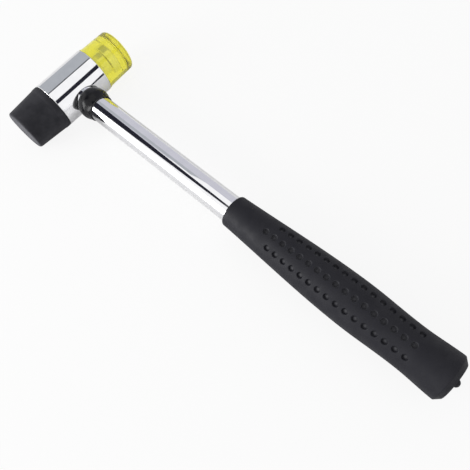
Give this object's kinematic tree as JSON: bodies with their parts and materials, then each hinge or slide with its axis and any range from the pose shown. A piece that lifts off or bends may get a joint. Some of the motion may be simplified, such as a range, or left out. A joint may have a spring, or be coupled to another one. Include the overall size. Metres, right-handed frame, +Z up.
{
  "type": "soft face hammer",
  "caption": "Soft face hammer: a plated steel barrel with a screw-in rubber face and a screw-in clear plastic face, on a steel tube handle with a dimpled moulded grip.",
  "frame": {"origin": "middle of the box at its lowest level, with the hammer lying on its side", "axes": "+X along the head towards the clear face, -Y down the handle to the butt, +Z up"},
  "size_m": [0.064, 0.232, 0.0235],
  "materials": {
    "plated_barrel": "bright plating over turned steel",
    "black_rubber": "matte moulded rubber",
    "stud_steel": "turned and threaded steel",
    "clear_yellow": "clear tinted plastic",
    "plated_tube": "bright plating over steel tube",
    "collar_plastic": "glossy moulded plastic",
    "grip_plastic": "matte moulded soft plastic"
  },
  "bodies": {
    "handle": {"head_barrel": "plated_barrel", "handle_tube": "plated_tube", "head_collar": "collar_plastic", "grip": "grip_plastic"},
    "rubber_stud": {"rubber_face_stud": "stud_steel"},
    "rubber_cap": {"rubber_face": "black_rubber"},
    "clear_stud": {"clear_face_stud": "stud_steel"},
    "clear_cap": {"clear_face": "clear_yellow"}
  },
  "joints": [
    {"name": "rubber_stud_slide", "type": "slide", "parent": "handle", "child": "rubber_stud", "axis": [-1, 0, 0], "range_m": [0, 0.0064]},
    {"name": "rubber_face_turn", "type": "hinge", "parent": "rubber_stud", "child": "rubber_cap", "pos_m": [-0.013, 0.10425, 0.01175], "axis": [-1, 0, 0], "range_deg": [0, 1800]},
    {"name": "clear_stud_slide", "type": "slide", "parent": "handle", "child": "clear_stud", "axis": [1, 0, 0], "range_m": [0, 0.0064]},
    {"name": "clear_face_turn", "type": "hinge", "parent": "clear_stud", "child": "clear_cap", "pos_m": [0.015, 0.10425, 0.01175], "axis": [1, 0, 0], "range_deg": [0, 1800]}
  ],
  "couplings": [
    {"joint": "rubber_stud_slide", "follows": "rubber_face_turn", "m_per_rad": 0.00019894},
    {"joint": "clear_stud_slide", "follows": "clear_face_turn", "m_per_rad": 0.00019894}
  ]
}
